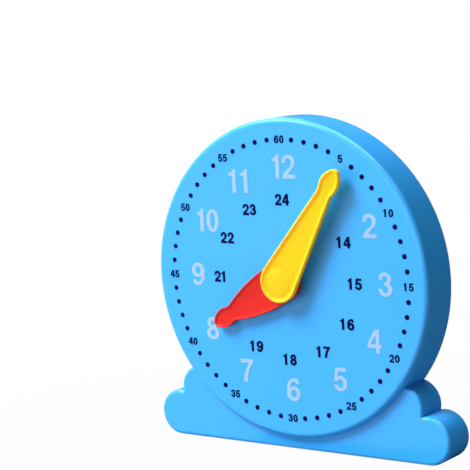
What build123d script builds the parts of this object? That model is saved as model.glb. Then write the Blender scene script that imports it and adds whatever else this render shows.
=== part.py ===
from build123d import *
from math import acos, asin, cos, pi, radians, sin, sqrt, tan
import os

# A small teaching clock: a hollow blue moulding with a round dial and a cloud-shaped base, two geared
# hands, a clear plate over the gears and a clear folding stand. Millimetres. It is modelled about the
# middle of the dial's face: X to the right, Y to the back, Z up. FRAME then moves every piece so that
# the origin is the middle of the flat underside.

# Dial and rim
dial_diameter = 105.0
dial_edge_radius = 1.8
shell_depth = 14.5
wall = 2.0

# Cloud-shaped base
base_width = 113.4
base_lift = 4.3
base_step = 2.3
base_edge_radius = 1.2
lower_lobe_radius = 7.8
upper_lobe_radius = 7.7
lobe_step_in = 9.3
lobe_step_up = 9.3

# Print on the dial
ink = 0.1
minute_ring_margin = 6.85
hour_ring_margin = 9.15
day_ring_margin = 10.3
hour_ring_shift = 0.9
hour_ring_rise = 0.4
hour_cap = 7.7
day_cap = 3.55
minute_cap = 2.45
dot_diameter = 1.65

# Hands
minute_hand_angle = 33.3
hour_hand_angle = 240.7
minute_tip_margin = 1.25
hour_tip_margin = 4.0
minute_hub_radius = 6.7
hour_hub_radius = 6.9
minute_bulge = 0.05
hour_bulge = 1.3
neck_half_width = 2.5
lobe_half_width = 3.1
leaf_length = 9.4
neck_radius = 1.25
tip_radius = 1.9
hand_plate = 1.3
hand_rim_height = 0.7
hand_rim_width = 0.9
hour_hand_gap = 0.6
hand_gap = 0.4
hand_cap_radius = 5.0
hand_cap_height = 0.3

# Gears, 12 turns of the minute hand to one of the hour hand
gear_module = 0.7
pressure_angle = 25.0
addendum_ratio = 0.8
dedendum_ratio = 1.05
pinion_shift_ratio = 0.3
tooth_play = 0.15
minute_teeth = 10
idler_wheel_teeth = 30
idler_pinion_teeth = 8
hour_teeth = 32
gear_face = 2.4
layer_gap = 1.6
axial_gap = 0.4
running_gap = 0.05
minute_shaft_diameter = 3.2
minute_pivot_diameter = 2.2
hour_tube_diameter = 6.0
idler_post_diameter = 2.4
rear_hub_diameter = 4.2

# Gear cover and its screws
cover_thickness = 1.4
cover_half_width = 16.3
cover_top = 15.0
cover_margin = 0.6
boss_diameter = 5.0
boss_gap = 0.4
screw_diameter = 2.0
screw_length = 8.0
screw_head_diameter = 4.0
screw_head_height = 1.3
screw_gap = 0.05
slot_length = 2.4
slot_width = 0.7
slot_depth = 0.6

# Stand
leg_width = 7.5
leg_thickness = 6.0
leg_gap = 3.0
crossbar_width = 6.5
crossbar_inset = 1.5
ball_proud = 0.85
ball_offset = 0.2
fold_gap = 3.0
hinge_drop = 9.0
stand_drop_angle = 19.6
groove_depth = 1.5
groove_lip = 1.7
groove_start = 6.0
stand_edge_radius = 0.6
window_corner_radius = 3.5
stud_diameter = 3.2
lug_thickness = 3.0
lug_gap = 0.3
lug_rim = 2.2

# Worked out: dial, base and print
dial_radius = dial_diameter / 2
inner_radius = dial_radius - wall
underside = -(dial_radius + base_lift)
lower_lobe_x = base_width / 2 - lower_lobe_radius
lower_lobe_z = underside + lower_lobe_radius
upper_lobe_x = lower_lobe_x - lobe_step_in
upper_lobe_z = lower_lobe_z + lobe_step_up
minute_ring = dial_radius - minute_ring_margin
hour_ring = minute_ring - hour_ring_margin
day_ring = hour_ring - day_ring_margin

# Worked out: gear train, from the dial's back towards the open back of the shell
centre_distance = gear_module * (minute_teeth + idler_wheel_teeth) / 2
idler_module = 2 * centre_distance / (idler_pinion_teeth + hour_teeth)
idler_z = -centre_distance
hour_gear_front = wall + axial_gap
hour_gear_back = hour_gear_front + gear_face
wheel_front = hour_gear_back + layer_gap
wheel_back = wheel_front + gear_face
cover_front = wheel_back + layer_gap + axial_gap
cover_back = cover_front + cover_thickness
wheel_outer = gear_module * (idler_wheel_teeth / 2 + addendum_ratio - pinion_shift_ratio)
boss_reach = boss_diameter / 2 + boss_gap
cover_corner = boss_diameter / 2 + cover_margin
top_boss_x = cover_half_width - cover_corner
top_boss_z = cover_top - cover_corner
low_boss_z = idler_z - wheel_outer - boss_reach

# Worked out: hands, towards the front
hour_hand_back = -hour_hand_gap
hour_hand_front = hour_hand_back - hand_plate - hand_rim_height
minute_hand_back = hour_hand_front - hand_gap
minute_length = minute_ring - minute_tip_margin
hour_length = hour_ring - hour_tip_margin

# Worked out: stand, which folds up round the gear cover and stays inside the rim
leg_x = cover_half_width + leg_gap + leg_width / 2
ball_radius = leg_width / 2 + ball_proud
ball_x = leg_x + ball_offset
hinge_y = shell_depth - ball_radius
hinge_z = -hinge_drop
ball_reach = sqrt((inner_radius - fold_gap - ball_radius) ** 2 - ball_x ** 2) - hinge_z
lug_x = leg_x + leg_width / 2 + lug_gap

foot_middle = (base_step + base_edge_radius + shell_depth) / 2
FRAME = Location((0, -foot_middle, -underside))


def slab(sketch, front, back):
    """Extrude an XZ sketch between two depths."""
    return extrude(Plane.XZ.offset(-back) * sketch, amount=back - front)


def disc(radius, front, back, x=0.0, z=0.0):
    """A round bar along Y."""
    return slab(Pos(x, z) * Circle(radius), front, back)


def outline(start, *steps):
    """A closed face: a point draws a line to it, and a (via, end) pair draws an arc."""
    edges = []
    here = start
    for step in steps:
        if isinstance(step[0], tuple):
            via, end = step
            edges.append(ThreePointArc(here, via, end))
        else:
            end = step
            edges.append(Line(here, end))
        here = end
    if here != start:
        edges.append(Line(here, start))
    return make_face(edges)


# Digits, one unit tall, in a plain bold sans style

digit_width = 0.66
digit_gap = 0.14
one_width = 0.36
tight_one = (0.11, 0.0)
loose_one = (0.0, 0.25)


def oval(x, z, half_width, half_height):
    """A filled ellipse."""
    return Pos(x, z) * Ellipse(half_width, half_height)


def digit_0():
    return oval(0.33, 0.5, 0.33, 0.5) - oval(0.33, 0.5, 0.13, 0.345)


def digit_1():
    return outline(
        (0.16, 0), (0.36, 0), (0.36, 1), (0.21, 1), ((0.15, 0.885), (0, 0.845)), (0, 0.715), (0.16, 0.715)
    )


def digit_2():
    return outline(
        (0, 0.655),
        ((0.33, 1), (0.655, 0.7)),
        ((0.6, 0.52), (0.46, 0.38)),
        (0.27, 0.165),
        (0.66, 0.165),
        (0.66, 0),
        (0, 0),
        ((0.07, 0.2), (0.24, 0.37)),
        ((0.43, 0.55), (0.455, 0.69)),
        ((0.33, 0.845), (0.195, 0.655)),
    )


def digit_3():
    return outline(
        (0.02, 0.69),
        ((0.325, 1), (0.62, 0.745)),
        ((0.585, 0.61), (0.5, 0.53)),
        ((0.63, 0.43), (0.665, 0.29)),
        ((0.33, 0), (0, 0.31)),
        (0.2, 0.31),
        ((0.33, 0.155), (0.455, 0.295)),
        ((0.4, 0.42), (0.26, 0.445)),
        (0.26, 0.585),
        ((0.39, 0.62), (0.425, 0.72)),
        ((0.325, 0.85), (0.205, 0.69)),
    )


def digit_4():
    body = Polygon(
        (0.39, 0), (0.58, 0), (0.58, 0.22), (0.68, 0.22), (0.68, 0.375), (0.58, 0.375), (0.58, 1),
        (0.37, 1), (0, 0.4), (0, 0.22), (0.39, 0.22), align=None,
    )
    return body - Polygon((0.39, 0.375), (0.39, 0.76), (0.155, 0.375), align=None)


def digit_5():
    return outline(
        (0.11, 1),
        (0.62, 1),
        (0.62, 0.835),
        (0.245, 0.835),
        (0.215, 0.62),
        ((0.52, 0.61), (0.665, 0.335)),
        ((0.33, 0), (0, 0.27)),
        (0.2, 0.27),
        ((0.33, 0.15), (0.455, 0.335)),
        ((0.34, 0.505), (0.195, 0.42)),
        (0.025, 0.43),
    )


def digit_6():
    body = outline(
        (0.64, 0.745),
        ((0.54, 0.95), (0.355, 1)),
        ((0.1, 0.86), (0, 0.48)),
        ((0.08, 0.1), (0.335, 0)),
        ((0.58, 0.1), (0.665, 0.33)),
        ((0.58, 0.56), (0.37, 0.645)),
        ((0.27, 0.63), (0.195, 0.565)),
        ((0.23, 0.77), (0.36, 0.85)),
        ((0.42, 0.83), (0.445, 0.745)),
    )
    return body - oval(0.335, 0.325, 0.135, 0.17)


def digit_7():
    return outline(
        (0, 1),
        (0.66, 1),
        (0.66, 0.86),
        ((0.42, 0.47), (0.33, 0)),
        (0.12, 0),
        ((0.22, 0.46), (0.44, 0.835)),
        (0, 0.835),
    )


def digit_8():
    body = oval(0.33, 0.745, 0.295, 0.255) + oval(0.33, 0.285, 0.335, 0.285)
    return body - oval(0.33, 0.735, 0.11, 0.11) - oval(0.33, 0.29, 0.135, 0.13)


DIGITS = (digit_0, digit_1, digit_2, digit_3, digit_4, digit_5, digit_6, digit_7, digit_8)


def digit(figure, cap):
    """One digit of the given cap height, standing on the origin; a nine is a six turned over."""
    if figure == 9:
        return Pos(digit_width * cap, cap) * Rot(0, 0, 180) * scale(digit_6(), by=cap)
    return scale(DIGITS[figure](), by=cap)


def number_faces(value, cap, x, z, one_space):
    """The faces of a number centred on a point of the dial; one_space is left before and after each one."""
    figures = str(value)
    starts = []
    cursor = 0.0
    for figure in figures:
        lead, trail = one_space if figure == "1" else (0.0, 0.0)
        width = one_width if figure == "1" else digit_width
        starts.append(cursor + lead)
        cursor += lead + width + trail + digit_gap
    left = x - cap * (cursor - digit_gap) / 2
    foot = z - cap / 2
    return [Pos(left + cap * start, foot) * digit(int(figure), cap) for start, figure in zip(starts, figures)]


def clock_point(radius, turn):
    """X and Z of a point a given fraction of a turn clockwise from twelve."""
    return radius * sin(2 * pi * turn), radius * cos(2 * pi * turn)


def printed(faces):
    """Thin ink films on the dial's face."""
    return [slab(face, -ink, 0) for face in faces]


def numeral_ring(values, cap, radius, one_space, shift=0.0, rise=0.0):
    """Twelve upright numbers, the first one at one o'clock."""
    films = []
    for place, value in enumerate(values, start=1):
        x, z = clock_point(radius, place / 12)
        films += printed(number_faces(value, cap, x + shift, z + rise, one_space))
    return films


def dot_ring():
    """A dot on every minute that has no numeral."""
    films = []
    for minute in range(60):
        if minute % 5:
            x, z = clock_point(minute_ring, minute / 60)
            films.append(disc(dot_diameter / 2, -ink, 0, x, z))
    return films


# Body


def cloud(inset):
    """The base's outline: two lobes at each end above a flat underside."""
    shape = Polygon(
        (-lower_lobe_x, underside + inset),
        (lower_lobe_x, underside + inset),
        (lower_lobe_x, lower_lobe_z),
        (upper_lobe_x, upper_lobe_z),
        (-upper_lobe_x, upper_lobe_z),
        (-lower_lobe_x, lower_lobe_z),
        align=None,
    )
    for side in (-1, 1):
        shape += Pos(side * lower_lobe_x, lower_lobe_z) * Circle(lower_lobe_radius - inset)
        shape += Pos(side * upper_lobe_x, upper_lobe_z) * Circle(upper_lobe_radius - inset)
    return shape


def hinge_lug(side):
    """An ear on the dial's back with the bore for one of the stand's studs."""
    eye_radius = stud_diameter / 2 + lug_rim
    root = Plane.YZ.offset(side * lug_x + min(side, 0) * lug_thickness)
    profile = Pos(hinge_y, hinge_z) * Circle(eye_radius)
    profile += Pos((wall + hinge_y) / 2, hinge_z) * Rectangle(hinge_y - wall, 2 * eye_radius)
    profile -= Pos(hinge_y, hinge_z) * Circle(stud_diameter / 2 + running_gap)
    return extrude(root * profile, amount=lug_thickness)


def boss_places():
    """X and Z of the three screw bosses round the gears."""
    return [(-top_boss_x, top_boss_z), (top_boss_x, top_boss_z), (0.0, low_boss_z)]


def make_clock_body():
    dial = disc(dial_radius, 0, shell_depth)
    dial = fillet(dial.faces().sort_by(Axis.Y)[0].edges(), dial_edge_radius)
    base = slab(cloud(0), base_step, shell_depth)
    base = fillet(base.faces().sort_by(Axis.Y)[0].edges(), base_edge_radius)
    body = dial + base
    body -= disc(inner_radius, wall, shell_depth)
    body -= slab(cloud(wall), base_step + wall, shell_depth)
    for x, z in boss_places():
        body += disc(boss_diameter / 2, wall, cover_front, x, z)
        body -= disc(screw_diameter / 2 + screw_gap, cover_back - screw_length - screw_gap, cover_front, x, z)
    body += disc(idler_post_diameter / 2, wall, cover_back - axial_gap, 0, idler_z)
    for side in (-1, 1):
        body += hinge_lug(side)
    body -= disc(hour_tube_diameter / 2 + running_gap, 0, wall)
    return body


# Gears


def involute(angle):
    return tan(angle) - angle


def gear_face_sketch(module, teeth, shift, tooth_direction):
    """A spur gear's outline about the origin, with one tooth pointing along tooth_direction (degrees)."""
    pitch = module * teeth / 2
    base = pitch * cos(radians(pressure_angle))
    tip = pitch + module * (addendum_ratio + shift)
    root = pitch - module * (dedendum_ratio - shift)
    thickness = pi * module / 2 + 2 * shift * module * tan(radians(pressure_angle)) - tooth_play
    half_at_base = thickness / (2 * pitch) + involute(radians(pressure_angle))

    def half_angle(radius):
        return half_at_base - involute(acos(base / radius))

    def point(radius, angle):
        return radius * cos(angle), radius * sin(angle)

    start = max(base, root)
    middle = (start + tip) / 2
    step = 2 * pi / teeth
    edges = []
    for tooth in range(teeth):
        axis = radians(tooth_direction) + tooth * step
        rise = [point(r, axis - half_angle(r)) for r in (start, middle, tip)]
        fall = [point(r, axis + half_angle(r)) for r in (tip, middle, start)]
        foot_in = point(root, axis - half_angle(start))
        foot_out = point(root, axis + half_angle(start))
        next_foot = point(root, axis + step - half_angle(start))
        if start > root:
            edges.append(Line(foot_in, rise[0]))
        edges.append(ThreePointArc(*rise))
        edges.append(ThreePointArc(rise[2], point(tip, axis), fall[0]))
        edges.append(ThreePointArc(*fall))
        if start > root:
            edges.append(Line(fall[2], foot_out))
        edges.append(ThreePointArc(foot_out, point(root, axis + step / 2), next_foot))
    return make_face(edges)


def make_minute_gear():
    """The minute hand's arbor: a shaft through the hour tube, a small gear and a rear pivot."""
    teeth = gear_face_sketch(gear_module, minute_teeth, pinion_shift_ratio, -90)
    shaft_end = minute_hand_back - hand_plate + axial_gap
    gear = slab(teeth, wheel_front - axial_gap, wheel_back + axial_gap)
    gear += disc(minute_shaft_diameter / 2, shaft_end, wheel_front)
    gear += disc(rear_hub_diameter / 2, wheel_back, cover_front - axial_gap / 2)
    gear += disc(minute_pivot_diameter / 2, cover_front - axial_gap, cover_back - axial_gap)
    return gear


def make_hour_gear():
    """The hour hand's arbor: a gear close behind the dial and a tube through it."""
    half_pitch = 180 / hour_teeth
    teeth = gear_face_sketch(idler_module, hour_teeth, -pinion_shift_ratio, -90 + half_pitch)
    tube = hour_tube_diameter / 2
    gear = slab(teeth, hour_gear_front, hour_gear_back)
    gear += disc(tube, hour_hand_front + hand_gap / 2, hour_gear_back + axial_gap)
    gear -= disc(minute_shaft_diameter / 2 + running_gap, hour_hand_front, hour_gear_back + axial_gap)
    return gear


def make_idler_gear():
    """A wheel and a pinion in one, turning on the post behind the dial."""
    half_pitch = 180 / idler_wheel_teeth
    wheel = gear_face_sketch(gear_module, idler_wheel_teeth, -pinion_shift_ratio, 90 + half_pitch)
    pinion = gear_face_sketch(idler_module, idler_pinion_teeth, pinion_shift_ratio, 90)
    place = Pos(0, idler_z)
    gear = slab(place * wheel, wheel_front, wheel_back)
    gear += slab(place * pinion, hour_gear_front, wheel_front)
    gear += disc(rear_hub_diameter / 2, wheel_back, cover_front - axial_gap / 2, 0, idler_z)
    gear -= disc(idler_post_diameter / 2 + running_gap, hour_gear_front, cover_front, 0, idler_z)
    return gear


# Gear cover and screws


def make_gear_cover():
    """A clear shield-shaped plate on the three bosses, with holes for the two arbors' ends."""
    low_radius = wheel_outer - cover_margin
    low_z = low_boss_z - cover_corner + low_radius
    low_x = cover_half_width - low_radius - cover_margin
    corners = []
    for side in (-1, 1):
        corners += (Pos(side * top_boss_x, top_boss_z) * Circle(cover_corner)).edges()
        corners += (Pos(side * low_x, low_z) * Circle(low_radius)).edges()
    cover = slab(make_hull(corners), cover_front, cover_back)
    cover = fillet(cover.faces().sort_by(Axis.Y)[-1].edges(), cover_thickness / 4)
    for x, z in boss_places():
        cover -= disc(screw_diameter / 2 + running_gap, cover_front, cover_back, x, z)
    cover -= disc(minute_pivot_diameter / 2 + running_gap, cover_front, cover_back)
    cover -= disc(idler_post_diameter / 2 + running_gap, cover_front, cover_back, 0, idler_z)
    return cover


def make_cover_screw(x, z):
    """A small pan-head screw with a crossed slot."""
    head = disc(screw_head_diameter / 2, cover_back, cover_back + screw_head_height, x, z)
    head = fillet(head.faces().sort_by(Axis.Y)[-1].edges(), screw_head_height / 2)
    cross = Rectangle(slot_length, slot_width) + Rectangle(slot_width, slot_length)
    slot_floor = cover_back + screw_head_height - slot_depth
    head -= slab(Pos(x, z) * cross, slot_floor, cover_back + screw_head_height)
    return head + disc(screw_diameter / 2, cover_back - screw_length, cover_back, x, z)


# Hands


def hand_outline(length, hub_radius, bulge, inset=0.0):
    """A hand that points along +Z, or its recess: a round hub, a tapering blade and a leaf-shaped tip."""
    neck_z = length - leaf_length
    lean = asin((hub_radius - neck_half_width) / neck_z)
    waist_half = (hub_radius + neck_half_width) / 2 + bulge
    hub = hub_radius - inset
    hub_edge = (hub * cos(lean), hub * sin(lean))
    waist = (waist_half - inset, neck_z / 2)
    neck = (neck_half_width - inset, neck_z)
    belly = (lobe_half_width - inset, neck_z + leaf_length / 2)
    tip = (0.0, length - inset)

    def left(point):
        return -point[0], point[1]

    shape = outline(
        hub_edge,
        (waist, neck),
        (belly, tip),
        (left(belly), left(neck)),
        (left(waist), left(hub_edge)),
        ((0.0, -hub), hub_edge),
    )
    necks = [shape.vertices().sort_by_distance((*place, 0))[0] for place in (neck, left(neck))]
    shape = fillet(necks, neck_radius + inset)
    return fillet(shape.vertices().sort_by(Axis.Y)[-1:], tip_radius - inset)


def make_hand(length, hub_radius, bulge, back, angle):
    """A hand with a raised rim round its outline, turned clockwise from twelve, without its bore."""
    plate_front = back - hand_plate
    front = plate_front - hand_rim_height
    hand = slab(hand_outline(length, hub_radius, bulge), front, back)
    hand = fillet(hand.faces().sort_by(Axis.Y)[0].edges(), hand_rim_width / 3)
    hand -= slab(hand_outline(length, hub_radius, bulge, hand_rim_width), front, plate_front)
    return hand.rotate(Axis.Y, angle)


def make_minute_hand():
    """The long hand, with a low round cap over the blind bore for its arbor."""
    plate_front = minute_hand_back - hand_plate
    hand = make_hand(minute_length, minute_hub_radius, minute_bulge, minute_hand_back, minute_hand_angle)
    hand += disc(hand_cap_radius, plate_front - hand_cap_height, plate_front)
    hand -= disc(minute_shaft_diameter / 2 + running_gap / 2, plate_front + axial_gap, minute_hand_back)
    return hand


def make_hour_hand():
    """The short hand, on the end of the hour tube."""
    hand = make_hand(hour_length, hour_hub_radius, hour_bulge, hour_hand_back, hour_hand_angle)
    hand -= disc(hour_tube_diameter / 2 + running_gap / 2, hour_hand_front, hour_hand_back)
    return hand


# Stand


def bar(x_low, x_high, y_low, y_high):
    """A rectangle between two corners, in the stand's own plane."""
    return Pos((x_low + x_high) / 2, (y_low + y_high) / 2) * Rectangle(x_high - x_low, y_high - y_low)


def make_stand_frame():
    """A U-frame that lies in its own XY plane with the hinge along X, then is swung to its open place."""
    half = leg_thickness / 2
    outer = leg_x + leg_width / 2
    inner = leg_x - leg_width / 2
    bar_middle = ball_reach - crossbar_inset
    bar_low = bar_middle - crossbar_width / 2
    bar_high = bar_middle + crossbar_width / 2

    window = bar(-inner, inner, -ball_reach, bar_low)
    window = fillet(window.vertices().group_by(Axis.Y)[-1], window_corner_radius)
    flat = bar(-outer, outer, 0, bar_high) - window
    frame = Pos(0, 0, -half) * extrude(flat, amount=leg_thickness)
    frame = fillet(frame.edges().filter_by(Plane.XY), stand_edge_radius)

    groove = bar(-outer + groove_lip, outer - groove_lip, bar_low + groove_lip, bar_high - groove_lip)
    for side in (-1, 1):
        groove += bar(
            side * leg_x - leg_width / 2 + groove_lip,
            side * leg_x + leg_width / 2 - groove_lip,
            groove_start,
            bar_high - groove_lip,
        )
    frame -= Pos(0, 0, half - groove_depth) * extrude(groove, amount=groove_depth)
    frame -= Pos(0, 0, -half) * extrude(groove, amount=groove_depth)

    stud_length = leg_width / 2 + lug_gap + lug_thickness
    for side in (-1, 1):
        knuckle = Plane.YZ.offset(side * leg_x - leg_width / 2)
        stud = Plane.YZ.offset(side * leg_x + min(side, 0) * stud_length)
        pivot = extrude(knuckle * Circle(half), amount=leg_width)
        pivot += extrude(stud * Circle(stud_diameter / 2), amount=stud_length)
        seam_out = Rot(0, 0, 90 - 90 * side)
        frame += pivot
        frame += Pos(side * ball_x, ball_reach, 0) * seam_out * Sphere(ball_radius)
    return Pos(0, hinge_y, hinge_z) * Rot(-stand_drop_angle, 0, 0) * frame


def save(name, pieces):
    """Write one node: a single piece, or a group of separate ones."""
    moved = [piece.moved(FRAME) for piece in pieces]
    node = moved[0] if len(moved) == 1 else Compound(children=moved)
    export_step(node, f"parts/{name}.step")


def main():
    os.makedirs("parts", exist_ok=True)
    save("clock_body", [make_clock_body()])
    hours = numeral_ring(range(1, 13), hour_cap, hour_ring, tight_one, hour_ring_shift, hour_ring_rise)
    save("hour_numerals", hours)
    save("day_hour_numerals", numeral_ring(range(13, 25), day_cap, day_ring, loose_one))
    save("minute_numerals", numeral_ring(range(5, 65, 5), minute_cap, minute_ring, loose_one))
    save("minute_dots", dot_ring())
    save("hour_hand", [make_hour_hand()])
    save("hour_gear", [make_hour_gear()])
    save("minute_hand", [make_minute_hand()])
    save("minute_gear", [make_minute_gear()])
    save("idler_gear", [make_idler_gear()])
    save("gear_cover", [make_gear_cover()])
    save("cover_screws", [make_cover_screw(x, z) for x, z in boss_places()])
    save("stand_frame", [make_stand_frame()])
    print(f"hinge at y {hinge_y - foot_middle:.3f}, z {hinge_z - underside:.3f}, reach {ball_reach:.3f}")
    print(f"dial face at y {-foot_middle:.3f}, centre at z {-underside:.3f}")


main()
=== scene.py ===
"""Looks of a small teaching clock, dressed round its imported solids.

A hollow blue moulding carries a printed dial and two geared hands. At the back a clear plate covers
the gears, and a clear folding frame props the clock up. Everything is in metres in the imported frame:
X to the right, Y to the back, Z up, with the origin in the middle of the flat underside. Sizes of
pieces are written in millimetres.
"""

from __future__ import annotations

import logging
import math
from collections.abc import Callable
from dataclasses import dataclass
from enum import Enum
from typing import Any

import bmesh
import bpy
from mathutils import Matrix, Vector

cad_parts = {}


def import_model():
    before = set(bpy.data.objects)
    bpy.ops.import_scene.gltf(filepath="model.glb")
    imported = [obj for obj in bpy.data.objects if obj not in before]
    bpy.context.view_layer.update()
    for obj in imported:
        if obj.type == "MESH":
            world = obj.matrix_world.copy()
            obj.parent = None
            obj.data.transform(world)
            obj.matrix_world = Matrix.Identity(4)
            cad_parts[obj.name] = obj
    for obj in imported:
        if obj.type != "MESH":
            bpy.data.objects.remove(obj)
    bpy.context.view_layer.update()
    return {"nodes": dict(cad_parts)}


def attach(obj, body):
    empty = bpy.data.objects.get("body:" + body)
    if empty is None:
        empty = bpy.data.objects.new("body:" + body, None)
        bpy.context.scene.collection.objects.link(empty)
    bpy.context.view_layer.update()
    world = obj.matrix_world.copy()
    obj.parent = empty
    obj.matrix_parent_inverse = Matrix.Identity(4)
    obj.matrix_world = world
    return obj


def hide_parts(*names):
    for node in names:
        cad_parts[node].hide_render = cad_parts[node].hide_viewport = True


LOG = logging.getLogger("teaching_clock")
MM = 0.001

Pair = tuple[float, float]
Triple = tuple[float, float, float]

# Places that the looks share with the solids, in millimetres
DIAL_FACE_Y = -9.0
DIAL_CENTRE_Z = 56.8
DIAL_WALL = 2.0
BASE_WALL_Y = -4.7

# How much of an axis is in the normal of a face that looks along it, and of one that stands on edge
LOOKS_ALONG = 0.9
ON_EDGE = 0.5

WHITE = "#FFFFFF"


class Body(Enum):
    """The bodies that pieces ride on."""

    CLOCK = "clock"
    MINUTE = "minute"
    HOUR = "hour"


class Slot(Enum):
    """The record's material slots, by name; the hands hold one, which nothing reads."""

    BLUE = "blue_abs"
    NAVY = "navy_ink"
    RED = "red_abs"
    YELLOW = "yellow_abs"


class Element(Enum):
    """The parts of a mesh that are picked in edit mode."""

    VERTEX = "VERT"
    FACE = "FACE"


# Materials


def colour(hex_code: str) -> tuple[float, float, float, float]:
    """Turn an sRGB hex colour to linear.

    Args:
        hex_code: six hex digits after a hash sign.

    Returns:
        Linear red, green, blue and an alpha of one.
    """
    parts = [int(hex_code[i : i + 2], 16) / 255 for i in (1, 3, 5)]
    linear = [c / 12.92 if c <= 0.04045 else ((c + 0.055) / 1.055) ** 2.4 for c in parts]
    return (*linear, 1.0)


def per(size_mm: float) -> float:
    """The texture scale that gives a pattern a real size in millimetres."""
    return 1.0 / (size_mm * MM)


def add_node(
    tree: bpy.types.NodeTree,
    kind: str,
    settings: dict[str | int, Any] | None = None,
    links: dict[str | int, bpy.types.NodeSocket] | None = None,
) -> bpy.types.Node:
    """Add one node with its settings and links.

    Args:
        tree: the node tree.
        kind: the node's type name.
        settings: values of its properties, by lower-case name, or of its inputs, by label or number.
        links: sockets to join to its inputs.

    Returns:
        The new node.
    """
    node = tree.nodes.new(kind)
    for key, value in (settings or {}).items():
        if isinstance(key, str) and hasattr(node, key):
            setattr(node, key, value)
        else:
            node.inputs[key].default_value = value
    for key, socket in (links or {}).items():
        tree.links.new(socket, node.inputs[key])
    return node


def blank_material(name: str) -> tuple[bpy.types.Material, bpy.types.NodeTree]:
    """Make an empty node material.

    Args:
        name: the material's name.

    Returns:
        The material and its node tree.
    """
    material = bpy.data.materials.new(name)
    material.use_nodes = True
    material.node_tree.nodes.clear()
    return material, material.node_tree


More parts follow.
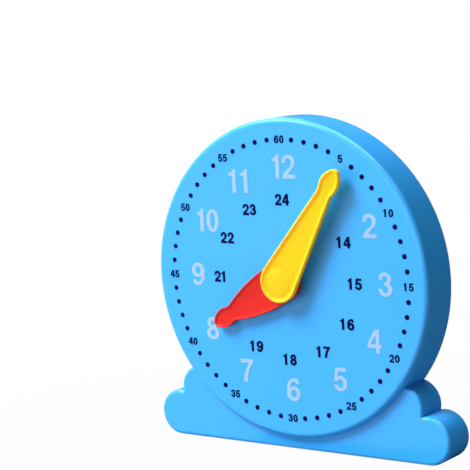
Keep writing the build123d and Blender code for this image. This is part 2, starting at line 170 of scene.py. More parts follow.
@dataclass(frozen=True)
class MouldedAbs:
    """Glossy injection-moulded ABS.

    The eye sees an even colour that drifts a little along the melt's flow, a faint orange peel in
    the gloss, drag lines where the side walls left the mould, and a few scuffs where they are held.
    """

    name: str
    base: str
    drift: str
    scuffed: str
    glow: Triple
    subsurface: float
    glow_mm: float = 0.8
    roughness: float = 0.22
    roughness_drift: float = 0.03
    scuff_roughness: float = 0.1
    ior: float = 1.54
    specular: float = 0.5
    flow_mm: float = 34.0
    flow_range: Pair = (0.3, 0.7)
    peel_mm: float = 1.5
    peel_strength: float = 0.05
    peel_height_mm: float = 0.05
    # Real drag lines lie a few tenths of a millimetre apart, so these are drawn coarser to show
    drag_mm: float = 0.7
    drag_length_mm: float = 40.0
    drag_range: Pair = (0.56, 0.76)
    held_patch_mm: float = 13.0
    held_range: Pair = (0.5, 0.68)
    side_range: Pair = (0.1, 0.3)

    def build(self) -> bpy.types.Material:
        """Make the material.

        Returns:
            The plastic.
        """
        material, tree = blank_material(self.name)
        place = add_node(tree, "ShaderNodeTexCoord").outputs["Object"]
        flow = add_node(
            tree,
            "ShaderNodeTexNoise",
            {"Scale": per(self.flow_mm), "Detail": 2.0, "Distortion": 0.6},
            {"Vector": place},
        )
        drifted = add_node(
            tree,
            "ShaderNodeMix",
            {"data_type": "RGBA", 6: colour(self.base), 7: colour(self.drift)},
            {0: flow.outputs[0]},
        )
        scuffs = self.scuffs(tree, place)
        worn = add_node(
            tree,
            "ShaderNodeMix",
            {"data_type": "RGBA", 7: colour(self.scuffed)},
            {0: scuffs, 6: drifted.outputs[2]},
        )
        sheen = add_node(
            tree,
            "ShaderNodeMapRange",
            {
                "From Min": self.flow_range[0],
                "From Max": self.flow_range[1],
                "To Min": self.roughness - self.roughness_drift,
                "To Max": self.roughness + self.roughness_drift,
            },
            {"Value": flow.outputs[0]},
        )
        rough = add_node(
            tree,
            "ShaderNodeMath",
            {"operation": "MULTIPLY_ADD", 1: self.scuff_roughness},
            {0: scuffs, 2: sheen.outputs[0]},
        )
        peel = add_node(
            tree,
            "ShaderNodeTexNoise",
            {"Scale": per(self.peel_mm), "Detail": 1.0},
            {"Vector": place},
        )
        bump = add_node(
            tree,
            "ShaderNodeBump",
            {"Strength": self.peel_strength, "Distance": self.peel_height_mm * MM},
            {"Height": peel.outputs[0]},
        )
        shader = add_node(
            tree,
            "ShaderNodeBsdfPrincipled",
            {
                "IOR": self.ior,
                "Specular IOR Level": self.specular,
                "Subsurface Weight": self.subsurface,
                "Subsurface Radius": self.glow,
                "Subsurface Scale": self.glow_mm * MM,
            },
            {
                "Base Color": worn.outputs[2],
                "Roughness": rough.outputs[0],
                "Normal": bump.outputs[0],
            },
        )
        add_node(tree, "ShaderNodeOutputMaterial", links={"Surface": shader.outputs[0]})
        return material

    def scuffs(
        self, tree: bpy.types.NodeTree, place: bpy.types.NodeSocket
    ) -> bpy.types.NodeSocket:
        """Lines along the draw of the mould on the side walls, in patches where the piece is held.

        Args:
            tree: the material's node tree.
            place: the object coordinates.

        Returns:
            How scuffed the surface is, 0 to 1.
        """
        drawn = add_node(
            tree,
            "ShaderNodeMapping",
            {"Scale": (per(self.drag_mm), per(self.drag_length_mm), per(self.drag_mm))},
            {"Vector": place},
        )
        drags = add_node(
            tree, "ShaderNodeTexNoise", {"Scale": 1.0, "Detail": 2.0}, {"Vector": drawn.outputs[0]}
        )
        lines = add_node(
            tree,
            "ShaderNodeMapRange",
            {"From Min": self.drag_range[0], "From Max": self.drag_range[1]},
            {"Value": drags.outputs[0]},
        )
        patches = add_node(
            tree,
            "ShaderNodeTexNoise",
            {"Scale": per(self.held_patch_mm), "Detail": 2.0},
            {"Vector": place},
        )
        held = add_node(
            tree,
            "ShaderNodeMapRange",
            {"From Min": self.held_range[0], "From Max": self.held_range[1]},
            {"Value": patches.outputs[0]},
        )
        normal = add_node(tree, "ShaderNodeTexCoord").outputs["Normal"]
        facing = add_node(tree, "ShaderNodeSeparateXYZ", links={0: normal})
        flatness = add_node(
            tree, "ShaderNodeMath", {"operation": "ABSOLUTE"}, {0: facing.outputs["Y"]}
        )
        side = add_node(
            tree,
            "ShaderNodeMapRange",
            {
                "From Min": self.side_range[0],
                "From Max": self.side_range[1],
                "To Min": 1.0,
                "To Max": 0.0,
            },
            {"Value": flatness.outputs[0]},
        )
        worn = add_node(
            tree,
            "ShaderNodeMath",
            {"operation": "MULTIPLY"},
            {0: lines.outputs[0], 1: held.outputs[0]},
        )
        on_sides = add_node(
            tree,
            "ShaderNodeMath",
            {"operation": "MULTIPLY"},
            {0: worn.outputs[0], 1: side.outputs[0]},
        )
        return on_sides.outputs[0]


@dataclass(frozen=True)
class PadPrintedInk:
    """Pad-printed ink.

    The eye sees a thin satin film, a little uneven where the pad left less of it, with pinholes.
    """

    name: str
    base: str
    thin: str
    roughness: float = 0.55
    roughness_range: Pair = (-0.06, 0.08)
    ior: float = 1.5
    specular: float = 0.06
    # The mottle and the pinholes of a real film are finer, and are drawn coarser to show
    mottle_mm: float = 1.1
    mottle_range: Pair = (0.45, 0.85)
    mottle_share: float = 0.6
    mottle_strength: float = 0.08
    film_mm: float = 0.02
    pinhole_mm: float = 0.9
    pinhole_range: Pair = (0.10, 0.05)
    pinhole_share: float = 0.5

    def build(self) -> bpy.types.Material:
        """Make the material.

        Returns:
            The ink.
        """
        material, tree = blank_material(self.name)
        place = add_node(tree, "ShaderNodeTexCoord").outputs["Object"]
        mottle = add_node(
            tree,
            "ShaderNodeTexNoise",
            {"Scale": per(self.mottle_mm), "Detail": 3.0},
            {"Vector": place},
        )
        thinness = add_node(
            tree,
            "ShaderNodeMapRange",
            {
                "From Min": self.mottle_range[0],
                "From Max": self.mottle_range[1],
                "To Max": self.mottle_share,
            },
            {"Value": mottle.outputs[0]},
        )
        cells = add_node(
            tree, "ShaderNodeTexVoronoi", {"Scale": per(self.pinhole_mm)}, {"Vector": place}
        )
        holes = add_node(
            tree,
            "ShaderNodeMapRange",
            {
                "From Min": self.pinhole_range[0],
                "From Max": self.pinhole_range[1],
                "To Max": self.pinhole_share,
            },
            {"Value": cells.outputs[0]},
        )
        cover = add_node(
            tree,
            "ShaderNodeMath",
            {"operation": "MAXIMUM"},
            {0: thinness.outputs[0], 1: holes.outputs[0]},
        )
        film = add_node(
            tree,
            "ShaderNodeMix",
            {"data_type": "RGBA", 6: colour(self.base), 7: colour(self.thin)},
            {0: cover.outputs[0]},
        )
        rough = add_node(
            tree,
            "ShaderNodeMapRange",
            {
                "To Min": self.roughness + self.roughness_range[0],
                "To Max": self.roughness + self.roughness_range[1],
            },
            {"Value": mottle.outputs[0]},
        )
        bump = add_node(
            tree,
            "ShaderNodeBump",
            {"Strength": self.mottle_strength, "Distance": self.film_mm * MM},
            {"Height": mottle.outputs[0]},
        )
        shader = add_node(
            tree,
            "ShaderNodeBsdfPrincipled",
            {"IOR": self.ior, "Specular IOR Level": self.specular},
            {
                "Base Color": film.outputs[2],
                "Roughness": rough.outputs[0],
                "Normal": bump.outputs[0],
            },
        )
        add_node(tree, "ShaderNodeOutputMaterial", links={"Surface": shader.outputs[0]})
        return material


@dataclass(frozen=True)
class ClearStyrene:
    """Clear moulded polystyrene.

    The eye sees water-clear plastic with a cool edge tint, faint flow lines and a soft gloss.
    """

    name: str
    base: str = "#EEF5FA"
    roughness: float = 0.05
    roughness_range: Pair = (-0.03, 0.06)
    ior: float = 1.59
    flow_mm: float = 7.0
    flow_stretch: float = 4.0
    flow_strength: float = 0.12
    flow_height_mm: float = 0.12
    haze_mm: float = 22.0

    def build(self) -> bpy.types.Material:
        """Make the material.

        Returns:
            The clear plastic.
        """
        material, tree = blank_material(self.name)
        place = add_node(tree, "ShaderNodeTexCoord").outputs["Object"]
        across, along = per(self.flow_mm), per(self.flow_stretch * self.flow_mm)
        drawn = add_node(
            tree, "ShaderNodeMapping", {"Scale": (across, along, across)}, {"Vector": place}
        )
        flow = add_node(
            tree, "ShaderNodeTexNoise", {"Scale": 1.0, "Detail": 2.0}, {"Vector": drawn.outputs[0]}
        )
        haze = add_node(
            tree,
            "ShaderNodeTexNoise",
            {"Scale": per(self.haze_mm), "Detail": 2.0},
            {"Vector": place},
        )
        rough = add_node(
            tree,
            "ShaderNodeMapRange",
            {
                "To Min": self.roughness + self.roughness_range[0],
                "To Max": self.roughness + self.roughness_range[1],
            },
            {"Value": haze.outputs[0]},
        )
        bump = add_node(
            tree,
            "ShaderNodeBump",
            {"Strength": self.flow_strength, "Distance": self.flow_height_mm * MM},
            {"Height": flow.outputs[0]},
        )
        shader = add_node(
            tree,
            "ShaderNodeBsdfPrincipled",
            {"Base Color": colour(self.base), "IOR": self.ior, "Transmission Weight": 1.0},
            {"Roughness": rough.outputs[0], "Normal": bump.outputs[0]},
        )
        add_node(tree, "ShaderNodeOutputMaterial", links={"Surface": shader.outputs[0]})
        return material


@dataclass(frozen=True)
class NaturalAcetal:
    """Natural acetal.

    The eye sees a milky off-white that lets light in a little, with a waxy low gloss from the mould.
    """

    name: str
    base: str = "#F2EFE6"
    drift: str = "#E6E2D4"
    roughness: float = 0.38
    roughness_drift: float = 0.06
    ior: float = 1.48
    subsurface: float = 0.35
    glow: Triple = (1.0, 0.9, 0.75)
    glow_mm: float = 1.2
    cloud_mm: float = 6.0
    # The mould's grain is about a tenth of a millimetre, and is drawn coarser to show
    grain_mm: float = 0.5
    grain_strength: float = 0.08
    grain_height_mm: float = 0.02

    def build(self) -> bpy.types.Material:
        """Make the material.

        Returns:
            The acetal.
        """
        material, tree = blank_material(self.name)
        place = add_node(tree, "ShaderNodeTexCoord").outputs["Object"]
        cloud = add_node(
            tree,
            "ShaderNodeTexNoise",
            {"Scale": per(self.cloud_mm), "Detail": 2.0},
            {"Vector": place},
        )
        milk = add_node(
            tree,
            "ShaderNodeMix",
            {"data_type": "RGBA", 6: colour(self.base), 7: colour(self.drift)},
            {0: cloud.outputs[0]},
        )
        grain = add_node(
            tree,
            "ShaderNodeTexNoise",
            {"Scale": per(self.grain_mm), "Detail": 2.0},
            {"Vector": place},
        )
        rough = add_node(
            tree,
            "ShaderNodeMapRange",
            {
                "To Min": self.roughness - self.roughness_drift,
                "To Max": self.roughness + self.roughness_drift,
            },
            {"Value": grain.outputs[0]},
        )
        bump = add_node(
            tree,
            "ShaderNodeBump",
            {"Strength": self.grain_strength, "Distance": self.grain_height_mm * MM},
            {"Height": grain.outputs[0]},
        )
        shader = add_node(
            tree,
            "ShaderNodeBsdfPrincipled",
            {
                "IOR": self.ior,
                "Subsurface Weight": self.subsurface,
                "Subsurface Radius": self.glow,
                "Subsurface Scale": self.glow_mm * MM,
            },
            {
                "Base Color": milk.outputs[2],
                "Roughness": rough.outputs[0],
                "Normal": bump.outputs[0],
            },
        )
        add_node(tree, "ShaderNodeOutputMaterial", links={"Surface": shader.outputs[0]})
        return material


@dataclass(frozen=True)
class ZincSteel:
    """Bright zinc-plated steel.

    The eye sees grey metal with a slightly blue cast and fine scratches from the driver.
    """

    name: str
    base: str = "#C6CBD1"
    dull: str = "#A4AAB2"
    roughness: float = 0.3
    roughness_range: Pair = (-0.1, 0.12)
    plate_mm: float = 0.8
    # The driver's scratches are a few hundredths of a millimetre wide, and are drawn coarser to show
    scratch_mm: float = 0.12
    scratch_stretch: float = 12.0
    scratch_strength: float = 0.15
    scratch_depth_mm: float = 0.02

    def build(self) -> bpy.types.Material:
        """Make the material.

        Returns:
            The plated steel.
        """
        material, tree = blank_material(self.name)
        place = add_node(tree, "ShaderNodeTexCoord").outputs["Object"]
        plate = add_node(
            tree,
            "ShaderNodeTexNoise",
            {"Scale": per(self.plate_mm), "Detail": 3.0},
            {"Vector": place},
        )
        metal = add_node(
            tree,
            "ShaderNodeMix",
            {"data_type": "RGBA", 6: colour(self.base), 7: colour(self.dull)},
            {0: plate.outputs[0]},
        )
        across, along = per(self.scratch_mm), per(self.scratch_stretch * self.scratch_mm)
        drawn = add_node(
            tree, "ShaderNodeMapping", {"Scale": (across, across, along)}, {"Vector": place}
        )
        scratch = add_node(
            tree, "ShaderNodeTexNoise", {"Scale": 1.0, "Detail": 1.0}, {"Vector": drawn.outputs[0]}
        )
        rough = add_node(
            tree,
            "ShaderNodeMapRange",
            {
                "To Min": self.roughness + self.roughness_range[0],
                "To Max": self.roughness + self.roughness_range[1],
            },
            {"Value": scratch.outputs[0]},
        )
        bump = add_node(
            tree,
            "ShaderNodeBump",
            {"Strength": self.scratch_strength, "Distance": self.scratch_depth_mm * MM},
            {"Height": scratch.outputs[0]},
        )
        shader = add_node(
            tree,
            "ShaderNodeBsdfPrincipled",
            {"Metallic": 1.0},
            {
                "Base Color": metal.outputs[2],
                "Roughness": rough.outputs[0],
                "Normal": bump.outputs[0],
            },
        )
        add_node(tree, "ShaderNodeOutputMaterial", links={"Surface": shader.outputs[0]})
        return material


BLUE_ABS = MouldedAbs(
    "moulded_abs_sky_blue", "#33A8FB", "#37ABFC", "#44AEFA", (0.2, 0.6, 1.0), subsurface=0.1
)
YELLOW_ABS = MouldedAbs(
    "moulded_abs_yellow", "#FBC70A", "#FCCB10", "#FFDC5A", (1.0, 0.4, 0.05),
    subsurface=1.0, glow_mm=3.6, roughness=0.32, specular=0.3,
)
RED_ABS = MouldedAbs(
    "moulded_abs_red", "#D2160C", "#D61B10", "#E25044", (1.0, 0.1, 0.06),
    subsurface=0.4, glow_mm=1.6, roughness=0.32, specular=0.3,
)
PALE_INK = PadPrintedInk("pad_printed_ink_pale_blue", "#9ABFE6", "#88B5E4")
NAVY_INK = PadPrintedInk("pad_printed_ink_navy", "#01063C", "#050C48")
CLEAR = ClearStyrene("moulded_polystyrene_clear")
ACETAL = NaturalAcetal("moulded_acetal_natural")
STEEL = ZincSteel("zinc_plated_steel")


def dress(node: bpy.types.Object, material: bpy.types.Material) -> None:
    """Give a solid its finish.

    Args:
        node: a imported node's object.
        material: the finish.
    """
    for slot in node.material_slots:
        slot.material = material
    LOG.info("dressed %s in %s", node.name, material.name)


# Bench tools


def clear_selection() -> None:
    """Deselect everything in object mode."""
    bpy.ops.object.select_all(action="DESELECT")


def take_up(piece: bpy.types.Object) -> None:
    """Make a piece the only selected object and the active one.

    Args:
        piece: the object to work on next.
    """
    clear_selection()
    piece.select_set(True)
    bpy.context.view_layer.objects.active = piece


def pick(piece: bpy.types.Object, element: Element, test: Callable[[Any], bool]) -> None:
    """Select the vertices or faces of a mesh in edit mode that pass a test.

    Args:
        piece: the object in edit mode.
        element: vertices or faces.
        test: says whether a vertex or face is wanted.
    """
    bpy.ops.mesh.select_mode(type=element.value)
    bpy.ops.mesh.select_all(action="DESELECT")
    mesh = bmesh.from_edit_mesh(piece.data)
    for part in mesh.verts if element is Element.VERTEX else mesh.faces:
        if test(part):
            part.select = True
    mesh.select_flush_mode()
    bmesh.update_edit_mesh(piece.data)


def apply_modifier(piece: bpy.types.Object, kind: str, **settings: Any) -> None:
    """Add a modifier to a piece and apply it.

    Args:
        piece: the active object.
        kind: the modifier's type.
        settings: its properties.
    """
    modifier = piece.modifiers.new(kind.lower(), kind)
    for key, value in settings.items():
        setattr(modifier, key, value)
    bpy.ops.object.modifier_apply(modifier=modifier.name)


def settle(
    piece: bpy.types.Object, name: str, material: bpy.types.Material, body: Body
) -> None:
    """Name a finished piece, bake its place into its mesh, dress it and let it ride.

    Args:
        piece: the active object.
        name: its name.
        material: its finish.
        body: the body that it rides on.
    """
    bpy.ops.object.transform_apply(location=True, rotation=True, scale=True)
    piece.name = name
    piece.data.name = name
    piece.data.materials.clear()
    piece.data.materials.append(material)
    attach(piece, body.value)


def arc(start: Pair, via: Pair, end: Pair, step: float) -> list[Vector]:
    """Points along the arc through three points, without its last one.

    Args:
        start: first point.
        via: a point on the arc.
        end: last point.
        step: distance between points.

    Returns:
        The points.
    """
    a, b, c = Vector(start), Vector(via), Vector(end)
    turn = (b - a).cross(c - b)
    d = 2 * (a.x * (b.y - c.y) + b.x * (c.y - a.y) + c.x * (a.y - b.y))
    x = (a.dot(a) * (b.y - c.y) + b.dot(b) * (c.y - a.y) + c.dot(c) * (a.y - b.y)) / d
    y = (a.dot(a) * (c.x - b.x) + b.dot(b) * (a.x - c.x) + c.dot(c) * (b.x - a.x)) / d
    middle = Vector((x, y))
    radius = (a - middle).length
    first = math.atan2(a.y - y, a.x - x)
    sweep = math.atan2(c.y - y, c.x - x) - first
    sweep = sweep % (2 * math.pi) if turn > 0 else -((-sweep) % (2 * math.pi))
    count = max(3, round(abs(sweep) * radius / step))
    angles = [first + sweep * i / count for i in range(count)]
    return [middle + radius * Vector((math.cos(t), math.sin(t))) for t in angles]


# Pieces


@dataclass
class Dial:
    """The blue moulding with its printed dial, and the marks that its mould left inside."""

    pin_radius: float = 2.3
    pin_height: float = 0.12
    pin_dish: float = 0.08
    pin_land: float = 0.25
    pin_slope: float = 0.15
    pin_bevel: float = 0.03
    pin_sunk: float = 0.3
    pin_ring: float = 44.5
    pin_count: int = 8
    pin_sides: int = 40
    lobe_x: float = 48.9
    lobe_z: float = 7.8
    day_spread: float = 0.09
    minute_spread: float = 0.05
    merge_gap: float = 0.001
    smooth_angle: float = 35.0

    def dress(self, nodes: dict[str, bpy.types.Object]) -> None:
        """Give the moulding and its print their finishes.

        Args:
            nodes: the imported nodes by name.
        """
        dress(nodes["clock_body"], BLUE_ABS.build())
        dress(nodes["hour_numerals"], PALE_INK.build())
        navy = NAVY_INK.build()
        for name in ("day_hour_numerals", "minute_numerals", "minute_dots"):
            dress(nodes[name], navy)

    def spread_ink(self, node: bpy.types.Object, name: str, spread: float) -> bpy.types.Object:
        """Copy a set of printed figures with its strokes as wide as the pad squeezes the ink.

        Args:
            node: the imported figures, already dressed.
            name: the new piece's name.
            spread: how far each edge moves outwards, in millimetres.

        Returns:
            The figures as they print.
        """
        figures = bpy.data.objects.new(name, node.data.copy())
        bpy.context.scene.collection.objects.link(figures)
        take_up(figures)
        bpy.ops.mesh.customdata_custom_splitnormals_clear()
        bpy.ops.object.mode_set(mode="EDIT")
        bpy.ops.mesh.select_all(action="SELECT")
        bpy.ops.mesh.remove_doubles(threshold=self.merge_gap * MM)
        # The edges of the film face along the dial, and only they move
        pick(figures, Element.FACE, lambda face: abs(face.normal.y) < ON_EDGE)
        bpy.ops.transform.shrink_fatten(value=spread * MM, use_even_offset=True)
        bpy.ops.object.mode_set(mode="OBJECT")
        settle(figures, name, node.material_slots[0].material, Body.CLOCK)
        bpy.ops.object.shade_smooth_by_angle(angle=math.radians(self.smooth_angle))
        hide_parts(node.name)
        return figures

    def pin_places(self) -> list[Triple]:
        """Where the ejector pins stood, in millimetres.

        Returns:
            X, Y and Z of each pin's face.
        """
        back = DIAL_FACE_Y + DIAL_WALL
        turns = [(i + 0.5) / self.pin_count * 2 * math.pi for i in range(self.pin_count)]
        ring = [
            (self.pin_ring * math.sin(t), back, DIAL_CENTRE_Z + self.pin_ring * math.cos(t))
            for t in turns
        ]
        lobes = [(side * self.lobe_x, BASE_WALL_Y, self.lobe_z) for side in (-1, 1)]
        return ring + lobes

    def make_pin_marks(self, material: bpy.types.Material) -> bpy.types.Object:
        """Model one dished round mark and copy it to each pin's place.

        Args:
            material: the moulding's finish.

        Returns:
            The marks as one piece.
        """
        clear_selection()
        bpy.ops.mesh.primitive_cylinder_add(
            vertices=self.pin_sides,
            radius=self.pin_radius * MM,
            depth=(self.pin_height + self.pin_sunk) * MM,
        )
        mark = bpy.context.object
        bpy.ops.object.mode_set(mode="EDIT")
        pick(mark, Element.FACE, lambda face: face.normal.z > LOOKS_ALONG)
        bpy.ops.mesh.inset(thickness=self.pin_land * MM)
        bpy.ops.mesh.inset(thickness=self.pin_slope * MM, depth=-self.pin_dish * MM)
        bpy.ops.object.mode_set(mode="OBJECT")
        apply_modifier(
            mark, "BEVEL", width=self.pin_bevel * MM, segments=2, limit_method="ANGLE"
        )
        marks = [mark]
        for _ in self.pin_places()[1:]:
            copy = mark.copy()
            copy.data = mark.data.copy()
            bpy.context.collection.objects.link(copy)
            marks.append(copy)
        for piece, (x, y, z) in zip(marks, self.pin_places()):
            middle = y + (self.pin_height - self.pin_sunk) / 2
            piece.rotation_euler = (-math.pi / 2, 0, 0)
            piece.location = (x * MM, middle * MM, z * MM)
            piece.select_set(True)
        bpy.context.view_layer.objects.active = mark
        bpy.ops.object.join()
        settle(mark, "ejector_pin_marks", material, Body.CLOCK)
        bpy.ops.object.shade_smooth_by_angle(angle=math.radians(self.smooth_angle))
        return mark


@dataclass
class Hand:
    """One moulded hand.

    A round hub, a tapering blade and a leaf-shaped tip lie inside a raised rounded rim.
    """

    name: str
    node: str
    body: Body
    slot: Slot
    finish: MouldedAbs
    angle: float
    length: float
    hub_radius: float
    bulge: float
    back: float
    cap_radius: float = 0.0
    cap_height: float = 0.3
    cap_segments: int = 96
    thickness: float = 2.0
    rim_height: float = 0.5
    rim_width: float = 0.55
    rim_slope: float = 0.6
    rim_round: float = 0.22
    rim_segments: int = 4
    rim_angle: float = 0.6
    neck_half_width: float = 2.5
    neck_blend: float = 1.5
    neck_passes: int = 24
    lobe_half_width: float = 3.1
    leaf_length: float = 9.4
    tip_cut: float = 0.9
    tip_radius: float = 1.9
    tip_spread: float = 52.0
    step: float = 0.2
    smooth_angle: float = 40.0

    @property
    def neck_height(self) -> float:
        """How far from the axis the blade meets the leaf, in millimetres."""
        return self.length - self.leaf_length

    def outline(self) -> list[Vector]:
        """The hand's outline, pointing up, in millimetres.

        Returns:
            Its points, clockwise as seen from behind.
        """
        neck_z = self.neck_height
        lean = math.asin((self.hub_radius - self.neck_half_width) / neck_z)
        hub_edge = (self.hub_radius * math.cos(lean), self.hub_radius * math.sin(lean))
        waist = ((self.hub_radius + self.neck_half_width) / 2 + self.bulge, neck_z / 2)
        neck = (self.neck_half_width, neck_z)
        belly = (self.lobe_half_width, neck_z + self.leaf_length / 2)
        spread = math.radians(self.tip_spread)
        tip_end = self.length - self.tip_cut
        tip_z = tip_end - self.tip_radius
        tip_edge = (
            self.tip_radius * math.sin(spread),
            tip_z + self.tip_radius * math.cos(spread),
        )
        far_tip_edge = (-tip_edge[0], tip_edge[1])
        right = arc(hub_edge, waist, neck, self.step) + arc(neck, belly, tip_edge, self.step)
        tip = arc(tip_edge, (0.0, tip_end), far_tip_edge, self.step)
        left = [Vector((-p.x, p.y)) for p in reversed(right[1:])]
        hub = arc((-hub_edge[0], hub_edge[1]), (0.0, -self.hub_radius), hub_edge, self.step)
        return right + tip + [Vector(far_tip_edge)] + left + hub

    def make(self) -> bpy.types.Object:
        """Model the hand and let it stand for its solid.

        Returns:
            The finished hand.
        """
        points = self.outline()
        clear_selection()
        bpy.ops.mesh.primitive_circle_add(
            vertices=len(points), radius=self.hub_radius * MM, fill_type="NOTHING"
        )
        hand = bpy.context.object
        for vertex, point in zip(hand.data.vertices, points):
            vertex.co = (point.x * MM, 0.0, point.y * MM)
        bpy.ops.object.mode_set(mode="EDIT")
        neck_z = self.neck_height * MM
        pick(hand, Element.VERTEX, lambda v: abs(v.co.z - neck_z) < self.neck_blend * MM)
        bpy.ops.mesh.vertices_smooth(factor=0.5, repeat=self.neck_passes)
        bpy.ops.mesh.select_all(action="SELECT")
        bpy.ops.mesh.edge_face_add()
        bpy.ops.mesh.extrude_region_move(
            TRANSFORM_OT_translate={"value": (0, -self.thickness * MM, 0)}
        )
        bpy.ops.mesh.inset(thickness=self.rim_width * MM, use_even_offset=True)
        bpy.ops.mesh.inset(
            thickness=self.rim_slope * MM, depth=-self.rim_height * MM, use_even_offset=True
        )
        bpy.ops.mesh.select_all(action="SELECT")
        bpy.ops.mesh.normals_make_consistent(inside=False)
        bpy.ops.object.mode_set(mode="OBJECT")
        apply_modifier(
            hand,
            "BEVEL",
            width=self.rim_round * MM,
            segments=self.rim_segments,
            limit_method="ANGLE",
            angle_limit=self.rim_angle,
        )
        if self.cap_radius:
            self.add_cap(hand)
        hand.rotation_euler = (0, math.radians(self.angle), 0)
        hand.location = (0, (DIAL_FACE_Y - self.back) * MM, DIAL_CENTRE_Z * MM)
        take_up(hand)
        settle(hand, self.name, self.finish.build(), self.body)
        bpy.ops.object.shade_smooth_by_angle(angle=math.radians(self.smooth_angle))
        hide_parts(self.node)
        return hand

    def add_cap(self, hand: bpy.types.Object) -> None:
        """Raise a low dome over the hub.

        Args:
            hand: the hand, pointing up at the origin.
        """
        floor = -(self.thickness - self.rim_height)
        clear_selection()
        bpy.ops.mesh.primitive_uv_sphere_add(
            segments=self.cap_segments,
            ring_count=self.cap_segments // 2,
            radius=self.cap_radius * MM,
        )
        cap = bpy.context.object
        cap.scale = (1.0, self.cap_height / self.cap_radius, 1.0)
        cap.location = (0, floor * MM, 0)
        bpy.ops.object.transform_apply(location=True, rotation=True, scale=True)
        take_up(hand)
        apply_modifier(hand, "BOOLEAN", operation="UNION", solver="EXACT", object=cap)
        bpy.data.objects.remove(cap)


@dataclass
class Works:
    """The gears, the clear plate over them and its screws, at the back of the dial."""

    def dress(self, nodes: dict[str, bpy.types.Object], clear: bpy.types.Material) -> None:
        """Give the works their finishes.

        Args:
            nodes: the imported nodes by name.
            clear: the clear plastic, which the stand shares.
        """
        dress(nodes["minute_gear"], bpy.data.materials[YELLOW_ABS.name])
        dress(nodes["hour_gear"], bpy.data.materials[RED_ABS.name])
        dress(nodes["idler_gear"], ACETAL.build())
        dress(nodes["gear_cover"], clear)
        dress(nodes["cover_screws"], STEEL.build())


@dataclass
class Stand:
    """The clear folding frame with its ball feet."""

    def dress(self, nodes: dict[str, bpy.types.Object], clear: bpy.types.Material) -> None:
        """Give the frame its finish.

        Args:
            nodes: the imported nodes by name.
            clear: the clear plastic.
        """
        dress(nodes["stand_frame"], clear)


# Studio, with its places and sizes in metres


def seen_directly(
    tree: bpy.types.NodeTree,
) -> tuple[bpy.types.NodeSocket, bpy.types.NodeSocket]:
    """Tell what the eye sees of the studio, also in gloss and through clear plastic.

    Args:
        tree: the node tree of the floor or the world.

    Returns:
        1 for a ray of the camera, gloss or transmission, and 1 for a ray of gloss alone.
    """
    rays = add_node(tree, "ShaderNodeLightPath")
    gloss = rays.outputs["Is Glossy Ray"]
    outside = add_node(
        tree,
        "ShaderNodeMath",
        {"operation": "MAXIMUM"},
        {0: rays.outputs["Is Camera Ray"], 1: gloss},
    )
    seen = add_node(
        tree,
        "ShaderNodeMath",
        {"operation": "MAXIMUM"},
        {0: outside.outputs[0], 1: rays.outputs["Is Transmission Ray"]},
    )
    return seen.outputs[0], gloss


@dataclass(frozen=True)
class Lamp:
    """A soft box aimed at the dial: its place, width and power, and whether gloss mirrors it."""

    name: str
    place: Triple
    size: float
    power: float
    mirrored: bool = True

    def build(self) -> None:
        """Add the lamp to the scene."""
        data = bpy.data.lights.new(self.name, "AREA")
        data.shape = "DISK"
        data.size = self.size
        data.energy = self.power
        lamp = bpy.data.objects.new(self.name, data)
        bpy.context.scene.collection.objects.link(lamp)
        lamp.location = self.place
        lamp.visible_glossy = self.mirrored
        aim = Vector((0, DIAL_FACE_Y * MM, DIAL_CENTRE_Z * MM)) - lamp.location
        lamp.rotation_euler = aim.to_track_quat("-Z", "Y").to_euler()


@dataclass(frozen=True)
class Flag:
    """A dark card that only gloss sees."""

    name: str
    place: Triple
    turn: Triple
    size: Pair

    def build(self, card: bpy.types.Material) -> None:
        """Add the card to the scene.

        Args:
            card: its finish.
        """
        clear_selection()
        bpy.ops.mesh.primitive_plane_add(size=1.0, location=self.place, rotation=self.turn)
        flag = bpy.context.object
        flag.scale = (*self.size, 1.0)
        flag.name = self.name
        flag.visible_camera = False
        flag.visible_diffuse = False
        flag.visible_transmission = False
        flag.visible_shadow = False
        flag.data.materials.append(card)


LAMPS = (
    Lamp("key_box", (-1.68, -2.122, 3.01), 1.83, 184.0, mirrored=False),
    Lamp("glint_box", (-0.48, -0.54, 0.85), 0.5, 3.4),
    Lamp("top_box", (0.12, 0.02, 1.0), 0.75, 4.8),
    Lamp("left_box", (-0.7, -0.2, 1.08), 0.7, 4.8),
    Lamp("front_fill", (-0.2, -1.3, 0.3), 0.8, 1.2),
    Lamp("low_fill", (-0.25, -0.32, 0.02), 0.2, 0.55, mirrored=False),
    Lamp("back_fill", (-0.5, 0.9, 0.5), 0.6, 7.0),
)
FLAGS = (
    Flag("back_flag", (0.0, 0.8, 0.5), (math.pi / 2, 0, 0), (1.6, 1.6)),
    Flag("right_flag", (0.8, 0.2, 0.3), (math.pi / 2, 0, math.pi / 2), (1.4, 1.0)),
    Flag("lying_flag", (0.62, 0.4975, 0.0005), (0, 0, 0), (1.16, 1.005)),
    Flag("foot_flag", (0.0, 0.026, 0.0006), (0, 0, 0), (0.13, 0.068)),
    Flag("slant_flag", (0.0943, -0.024, 0.0007), (0, 0, -0.485), (0.16, 0.05)),
    Flag("sill_flag", (0.005, -0.011, 0.0008), (0, 0, 0), (0.05, 0.012)),
)


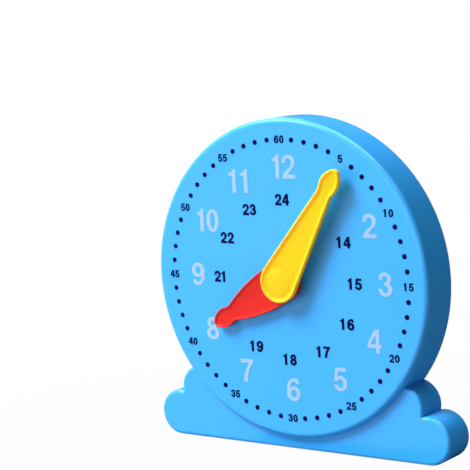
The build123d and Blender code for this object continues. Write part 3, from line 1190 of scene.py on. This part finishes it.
@dataclass
class Studio:
    """A white sweep, soft boxes, dark cards and the camera."""

    floor_radius: float = 2.5
    floor_sides: int = 128
    floor_colour: str = "#8C8C8C"
    card_colour: str = "#101418"
    # The table keeps a faint shadow near the clock and is plain white further out
    shadow_reach: Pair = (0.05, 0.22)
    shadow_white: float = 0.97
    # Gloss sees the table dimmer with distance, from the first level to the second
    gloss_reach: Pair = (0.15, 0.6)
    gloss_level: Pair = (0.9, 0.25)
    ambient: float = 0.085
    sensor: float = 36.0
    lens: float = 128.088
    camera_place: Triple = (0.305216, -0.447534, 0.141995)
    camera_turn: Triple = (82.5646, 3.1398, 36.1072)

    def build(self) -> None:
        """Add the floor, the cards, the world, the lamps and the camera."""
        self.make_floor()
        self.make_flags()
        self.make_world()
        for lamp in LAMPS:
            lamp.build()
        self.make_camera()
        bpy.context.scene.view_settings.view_transform = "Standard"

    def make_floor(self) -> None:
        """A round white table that fades into the background and keeps a faint shadow."""
        clear_selection()
        bpy.ops.mesh.primitive_circle_add(
            vertices=self.floor_sides, radius=self.floor_radius, fill_type="NGON"
        )
        floor = bpy.context.object
        floor.name = "studio_floor"
        material, tree = blank_material("matt_white_sweep")
        place = add_node(tree, "ShaderNodeTexCoord").outputs["Object"]
        reach = add_node(tree, "ShaderNodeVectorMath", {"operation": "LENGTH"}, {0: place})
        fade = add_node(
            tree,
            "ShaderNodeMapRange",
            {
                "interpolation_type": "SMOOTHSTEP",
                "From Min": self.shadow_reach[0],
                "From Max": self.shadow_reach[1],
                "To Min": self.shadow_white,
                "To Max": 1.0,
            },
            {"Value": reach.outputs["Value"]},
        )
        seen, gloss = seen_directly(tree)
        share = add_node(
            tree, "ShaderNodeMath", {"operation": "MULTIPLY"}, {0: fade.outputs[0], 1: seen}
        )
        matt = add_node(tree, "ShaderNodeBsdfDiffuse", {"Color": colour(self.floor_colour)})
        falloff = add_node(
            tree,
            "ShaderNodeMapRange",
            {
                "From Min": self.gloss_reach[0],
                "From Max": self.gloss_reach[1],
                "To Min": self.gloss_level[0] - 1.0,
                "To Max": self.gloss_level[1] - 1.0,
            },
            {"Value": reach.outputs["Value"]},
        )
        level = add_node(
            tree,
            "ShaderNodeMath",
            {"operation": "MULTIPLY_ADD", 2: 1.0},
            {0: gloss, 1: falloff.outputs[0]},
        )
        white = add_node(
            tree, "ShaderNodeEmission", {"Color": colour(WHITE)}, {"Strength": level.outputs[0]}
        )
        mixed = add_node(
            tree,
            "ShaderNodeMixShader",
            links={0: share.outputs[0], 1: matt.outputs[0], 2: white.outputs[0]},
        )
        add_node(tree, "ShaderNodeOutputMaterial", links={"Surface": mixed.outputs[0]})
        floor.data.materials.append(material)

    def make_flags(self) -> None:
        """Dark cards round and under the object that keep the shaded sides and edges deep."""
        material, tree = blank_material("black_card")
        card = add_node(tree, "ShaderNodeBsdfDiffuse", {"Color": colour(self.card_colour)})
        add_node(tree, "ShaderNodeOutputMaterial", links={"Surface": card.outputs[0]})
        for flag in FLAGS:
            flag.build(material)

    def make_world(self) -> None:
        """A white background with a dimmer even light on the object."""
        world = bpy.data.worlds.new("white_studio")
        world.use_nodes = True
        tree = world.node_tree
        tree.nodes.clear()
        seen, _ = seen_directly(tree)
        dim = add_node(
            tree, "ShaderNodeBackground", {"Color": colour(WHITE), "Strength": self.ambient}
        )
        white = add_node(tree, "ShaderNodeBackground", {"Color": colour(WHITE), "Strength": 1.0})
        mixed = add_node(
            tree, "ShaderNodeMixShader", links={0: seen, 1: dim.outputs[0], 2: white.outputs[0]}
        )
        add_node(tree, "ShaderNodeOutputWorld", links={"Surface": mixed.outputs[0]})
        bpy.context.scene.world = world

    def make_camera(self) -> None:
        """A long lens from the front right, a little above the dial."""
        data = bpy.data.cameras.new("camera")
        data.sensor_width = self.sensor
        data.lens = self.lens
        camera = bpy.data.objects.new("camera", data)
        bpy.context.scene.collection.objects.link(camera)
        camera.location = self.camera_place
        camera.rotation_euler = [math.radians(a) for a in self.camera_turn]
        bpy.context.scene.camera = camera


def main() -> None:
    """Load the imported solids, dress them, add the modelled pieces and set up the studio."""
    logging.basicConfig(level=logging.INFO, format="%(name)s: %(message)s")
    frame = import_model()
    nodes = frame["nodes"]
    dial = Dial()
    dial.dress(nodes)
    pieces = [
        dial.make_pin_marks(bpy.data.materials[BLUE_ABS.name]),
        dial.spread_ink(nodes["day_hour_numerals"], "day_hour_print", dial.day_spread),
        dial.spread_ink(nodes["minute_numerals"], "minute_print", dial.minute_spread),
        Hand(
            "minute_hand_moulding", "minute_hand", Body.MINUTE, Slot.YELLOW, YELLOW_ABS,
            angle=33.3, length=44.4, hub_radius=6.7, bulge=0.05, back=3.0, cap_radius=4.6,
        ).make(),
        Hand(
            "hour_hand_moulding", "hour_hand", Body.HOUR, Slot.RED, RED_ABS,
            angle=240.7, length=32.5, hub_radius=6.7, bulge=1.3, back=0.6, leaf_length=8.2,
            tip_cut=0.35, rim_height=0.4, rim_slope=0.42,
        ).make(),
    ]
    clear = CLEAR.build()
    Works().dress(nodes, clear)
    Stand().dress(nodes, clear)
    for piece in pieces:
        LOG.info("made %s: %d faces", piece.name, len(piece.data.polygons))
    Studio().build()


if __name__ == "__main__":
    main()
